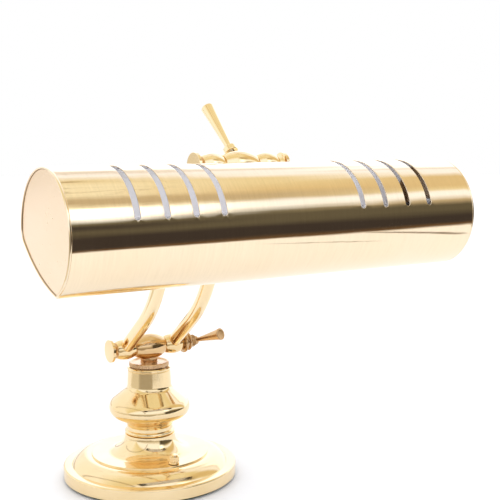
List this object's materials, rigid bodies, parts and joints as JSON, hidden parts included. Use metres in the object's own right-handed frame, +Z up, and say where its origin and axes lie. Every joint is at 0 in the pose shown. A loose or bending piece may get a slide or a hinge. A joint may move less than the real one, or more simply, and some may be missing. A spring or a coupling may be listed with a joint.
{
  "type": "desk lamp",
  "caption": "Polished brass piano lamp: a half-open tubular shade with cooling slots on twin curved arms over a turned, weighted base, with clamp levers at both pivots.",
  "frame": {"origin": "centre of the foot's underside, on the column's axis", "axes": "+X along the shade to its right end as the user faces the lamp, +Y back, away from the user, +Z up"},
  "size_m": [0.356, 0.3324, 0.3544],
  "materials": {
    "polished_brass": "polished and lacquered",
    "satin_brass": "satin",
    "dull_brass": "dull, turned",
    "steel": "zinc plated",
    "cast_iron": "rough",
    "white_enamel": "gloss white",
    "black_plastic": "moulded",
    "black_lead": "satin",
    "white_lead": "satin",
    "lamp_glass": "frosted inside",
    "felt": "pressed felt"
  },
  "bodies": {
    "base": {"base_pad": "felt", "foot_cover": "polished_brass", "foot_weight": "cast_iron", "tie_rod": "steel", "tie_washer": "steel", "tie_nut": "steel", "column": "polished_brass", "swivel_bush": "dull_brass", "cord_bushing": "black_plastic", "base_lead": "black_lead", "switch_body": "black_plastic"},
    "knob": {"switch_knob": "polished_brass"},
    "ring": {"lock_ring": "dull_brass"},
    "head": {"swivel_stem": "dull_brass", "lower_boss": "polished_brass"},
    "arms": {"lower_bolt": "polished_brass", "lower_washers": "dull_brass", "lower_knuckle_left": "polished_brass", "lower_knuckle_right": "polished_brass", "arm_left": "polished_brass", "arm_right": "polished_brass", "arm_lead": "black_lead", "upper_knuckle_left": "polished_brass", "upper_knuckle_right": "polished_brass", "upper_bolt": "polished_brass", "upper_end_nut": "polished_brass", "upper_washers": "dull_brass"},
    "lower_lever": {"clamp_nut": "dull_brass", "clamp_handle": "dull_brass"},
    "shade": {"upper_boss": "polished_brass", "boss_screws": "steel", "shade_shell": "polished_brass", "end_cap_left": "satin_brass", "end_cap_right": "satin_brass", "reflector": "white_enamel", "holder_bracket_left": "steel", "holder_bracket_right": "steel", "lampholder_left": "black_plastic", "lampholder_right": "black_plastic", "lamp_cap_left": "steel", "lamp_cap_right": "steel", "lamp_glass_left": "lamp_glass", "lamp_glass_right": "lamp_glass", "shade_lead": "white_lead"},
    "upper_lever": {"upper_screw": "steel", "upper_handle": "polished_brass"}
  },
  "joints": [
    {"name": "switch_turn", "type": "hinge", "parent": "base", "child": "knob", "pos_m": [0, -0.049, 0.0249], "axis": [0, 0, 1], "range_deg": [-300, 0]},
    {"name": "ring_turn", "type": "hinge", "parent": "base", "child": "ring", "pos_m": [0, 0, 0.108], "axis": [0, 0, 1], "range_deg": [0, 360]},
    {"name": "head_swivel", "type": "hinge", "parent": "base", "child": "head", "pos_m": [0, 0, 0.11], "axis": [0, 0, 1], "range_deg": [-170, 170]},
    {"name": "arm_tilt", "type": "hinge", "parent": "head", "child": "arms", "pos_m": [0, 0, 0.1265], "axis": [1, 0, 0], "range_deg": [-75, 40]},
    {"name": "lower_lever_turn", "type": "hinge", "parent": "arms", "child": "lower_lever", "pos_m": [0.0503, 0, 0.1265], "axis": [1, 0, 0], "range_deg": [0, 180]},
    {"name": "shade_tilt", "type": "hinge", "parent": "arms", "child": "shade", "pos_m": [0, -0.16415, 0.30461], "axis": [1, 0, 0], "range_deg": [-80, 18]},
    {"name": "upper_lever_turn", "type": "hinge", "parent": "shade", "child": "upper_lever", "pos_m": [0, -0.16415, 0.30461], "axis": [0, 0.7314, 0.682], "range_deg": [0, 360]}
  ]
}
